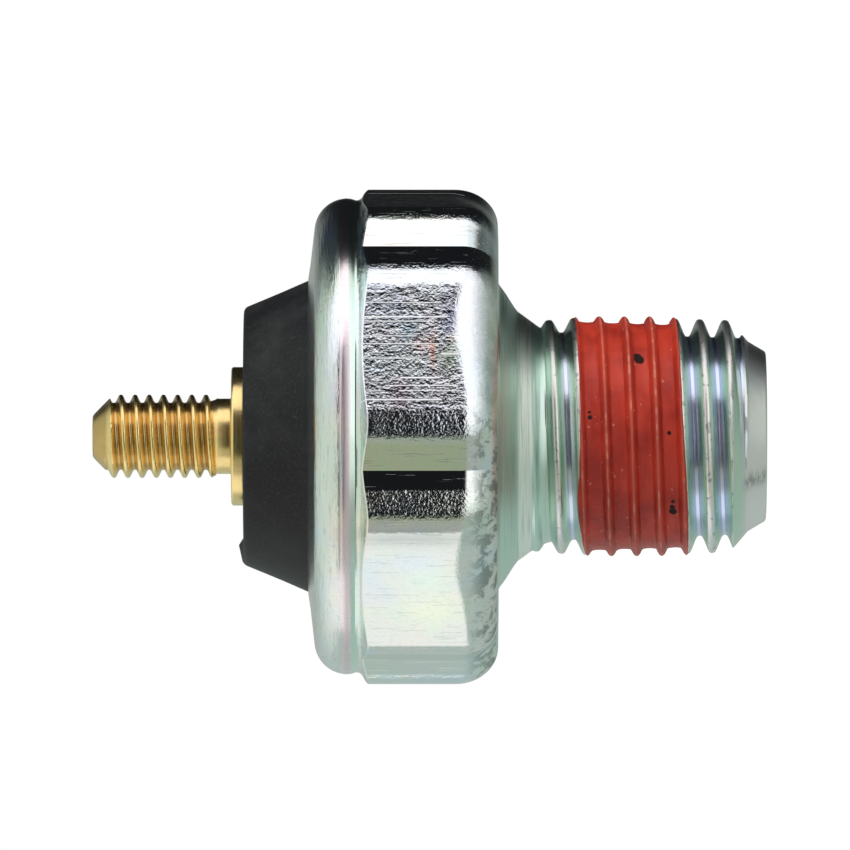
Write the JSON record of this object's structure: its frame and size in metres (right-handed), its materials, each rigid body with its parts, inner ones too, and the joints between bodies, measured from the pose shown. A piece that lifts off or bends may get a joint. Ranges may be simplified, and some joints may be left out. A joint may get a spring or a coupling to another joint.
{
  "type": "oil pressure sender",
  "caption": "Engine oil pressure sender: plated steel hexagon body with a tapered thread, crimped black insulator and a threaded brass stud terminal.",
  "frame": {"origin": "centre of the threaded end face, at the base", "axes": "+Z along the axis from the threaded end to the terminal stud; +X square to one flat of the hexagon"},
  "size_m": [0.027, 0.0274, 0.0377],
  "materials": {
    "zinc_plated_steel": "zinc plated, faintly iridescent",
    "red_sealant": "satin",
    "black_moulding": "matte",
    "terminal_brass": "satin",
    "contact_brass": "bright",
    "spring_steel": "bright",
    "inner_steel": "stamped",
    "seal_rubber": "matte",
    "film": "amber film",
    "nylon": "moulded"
  },
  "bodies": {
    "housing": {"hex_body": "zinc_plated_steel", "thread_sealant": "red_sealant", "seal_ring": "seal_rubber", "diaphragm": "film", "guide_plate": "inner_steel", "contact_spring": "spring_steel", "terminal_washer": "contact_brass", "insulator": "black_moulding", "terminal_stud": "terminal_brass"},
    "contact": {"plunger": "nylon", "contact_disc": "contact_brass"}
  },
  "joints": [
    {"name": "contact_lift", "type": "slide", "parent": "housing", "child": "contact", "axis": [0, 0, 1], "range_m": [0, 0.0006], "stiffness_N_per_m": 1270, "deforming": ["contact_spring"]}
  ]
}
